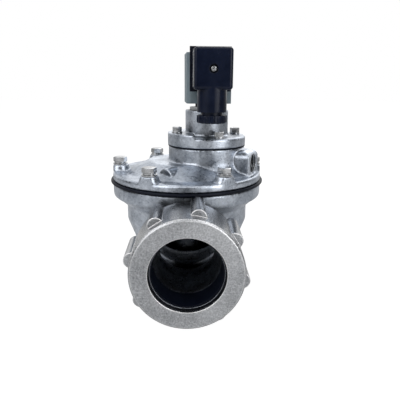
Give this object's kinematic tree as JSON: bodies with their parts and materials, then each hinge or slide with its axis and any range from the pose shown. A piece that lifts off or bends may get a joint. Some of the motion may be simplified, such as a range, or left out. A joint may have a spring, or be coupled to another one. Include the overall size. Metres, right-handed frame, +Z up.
{
  "type": "pulse valve",
  "caption": "Right-angle compressed-air pulse valve with double diaphragm, compression-nut ports, integral pilot, coil and cable socket.",
  "frame": {"origin": "on the outlet's axis at the face of the outlet nut, which the valve stands on", "axes": "+Z up the outlet's axis to the coil, -Y out of the inlet, +X towards the pilot turret and exhaust"},
  "size_m": [0.128, 0.172, 0.22],
  "materials": {
    "cast_aluminium": "cast, bead blasted",
    "zinc_steel": "bright zinc plate",
    "stainless": "turned",
    "spring_steel": "drawn wire",
    "black_rubber": "moulded nitrile rubber",
    "coil_resin": "matt moulded resin",
    "black_plastic": "moulded nylon, satin",
    "tinned_brass": "tinned"
  },
  "bodies": {
    "valve": {"valve_body": "cast_aluminium", "inlet_gland": "black_rubber", "outlet_gland": "black_rubber", "main_diaphragm": "black_rubber", "main_spring": "spring_steel", "main_cover": "cast_aluminium", "cover_plain_washers": "zinc_steel", "cover_spring_washers": "zinc_steel", "cover_bolts": "zinc_steel", "pilot_diaphragm": "black_rubber", "pilot_spring": "spring_steel", "pilot_cover": "cast_aluminium", "pilot_screw_washers": "zinc_steel", "pilot_cover_screws": "zinc_steel", "armature_tube": "stainless", "pole_core": "stainless", "plunger_spring": "spring_steel", "coil_nut": "zinc_steel", "coil_nut_washer": "zinc_steel", "coil_ring": "black_rubber"},
    "inlet_washer": {"inlet_washer": "zinc_steel"},
    "inlet_nut": {"inlet_nut": "cast_aluminium"},
    "outlet_washer": {"outlet_washer": "zinc_steel"},
    "outlet_nut": {"outlet_nut": "cast_aluminium"},
    "main_plates": {"upper_plate": "stainless", "lower_plate": "stainless", "plate_bolt": "zinc_steel", "plate_nut": "zinc_steel"},
    "pilot_plates": {"pilot_plate": "stainless", "pilot_plate_nut": "zinc_steel"},
    "plunger": {"plunger": "stainless", "plunger_seal": "black_rubber"},
    "coil": {"coil": "coil_resin", "terminal_blades": "tinned_brass"},
    "connector": {"connector_gasket": "black_rubber", "connector_housing": "black_plastic", "connector_insert": "black_plastic", "connector_screw": "zinc_steel", "cable_gland_seal": "black_rubber"},
    "gland_washer": {"gland_washer": "zinc_steel"},
    "cable_nut": {"cable_gland_nut": "black_plastic"}
  },
  "joints": [
    {"name": "main_lift", "type": "slide", "parent": "valve", "child": "main_plates", "axis": [0, 0, 1], "range_m": [0, 0.005], "stiffness_N_per_m": 600, "deforming": ["main_diaphragm", "main_spring"]},
    {"name": "pilot_lift", "type": "slide", "parent": "valve", "child": "pilot_plates", "axis": [0, 0, 1], "range_m": [0, 0.0025], "stiffness_N_per_m": 300, "deforming": ["pilot_diaphragm", "pilot_spring"]},
    {"name": "plunger_stroke", "type": "slide", "parent": "valve", "child": "plunger", "axis": [0, 0, 1], "range_m": [0, 0.0015], "stiffness_N_per_m": 300, "deforming": ["plunger_spring"]},
    {"name": "coil_turn", "type": "hinge", "parent": "valve", "child": "coil", "pos_m": [0.0165, 0, 0.1945], "axis": [0, 0, 1], "continuous": true},
    {"name": "connector_pull", "type": "slide", "parent": "coil", "child": "connector", "axis": [0.0523, -0.9986, 0], "range_m": [0, 0.02]},
    {"name": "gland_travel", "type": "slide", "parent": "connector", "child": "gland_washer", "axis": [0, 0, -1], "range_m": [0, 0.003]},
    {"name": "gland_turn", "type": "hinge", "parent": "gland_washer", "child": "cable_nut", "pos_m": [0.01849, -0.03795, 0.1695], "axis": [0, 0, -1], "range_deg": [0, 720]},
    {"name": "inlet_travel", "type": "slide", "parent": "valve", "child": "inlet_washer", "axis": [0, -1, 0], "range_m": [0, 0.004]},
    {"name": "inlet_turn", "type": "hinge", "parent": "inlet_washer", "child": "inlet_nut", "pos_m": [0, -0.09, 0.0718], "axis": [0, -1, 0], "range_deg": [0, 720]},
    {"name": "outlet_travel", "type": "slide", "parent": "valve", "child": "outlet_washer", "axis": [0, 0, -1], "range_m": [0, 0.004]},
    {"name": "outlet_turn", "type": "hinge", "parent": "outlet_washer", "child": "outlet_nut", "pos_m": [0, 0, 0.02], "axis": [0, 0, -1], "range_deg": [0, 720]}
  ],
  "couplings": [
    {"joint": "inlet_travel", "follows": "inlet_turn", "m_per_rad": 0.00031828},
    {"joint": "outlet_travel", "follows": "outlet_turn", "m_per_rad": 0.00031828},
    {"joint": "gland_travel", "follows": "gland_turn", "m_per_rad": 0.00023871}
  ]
}
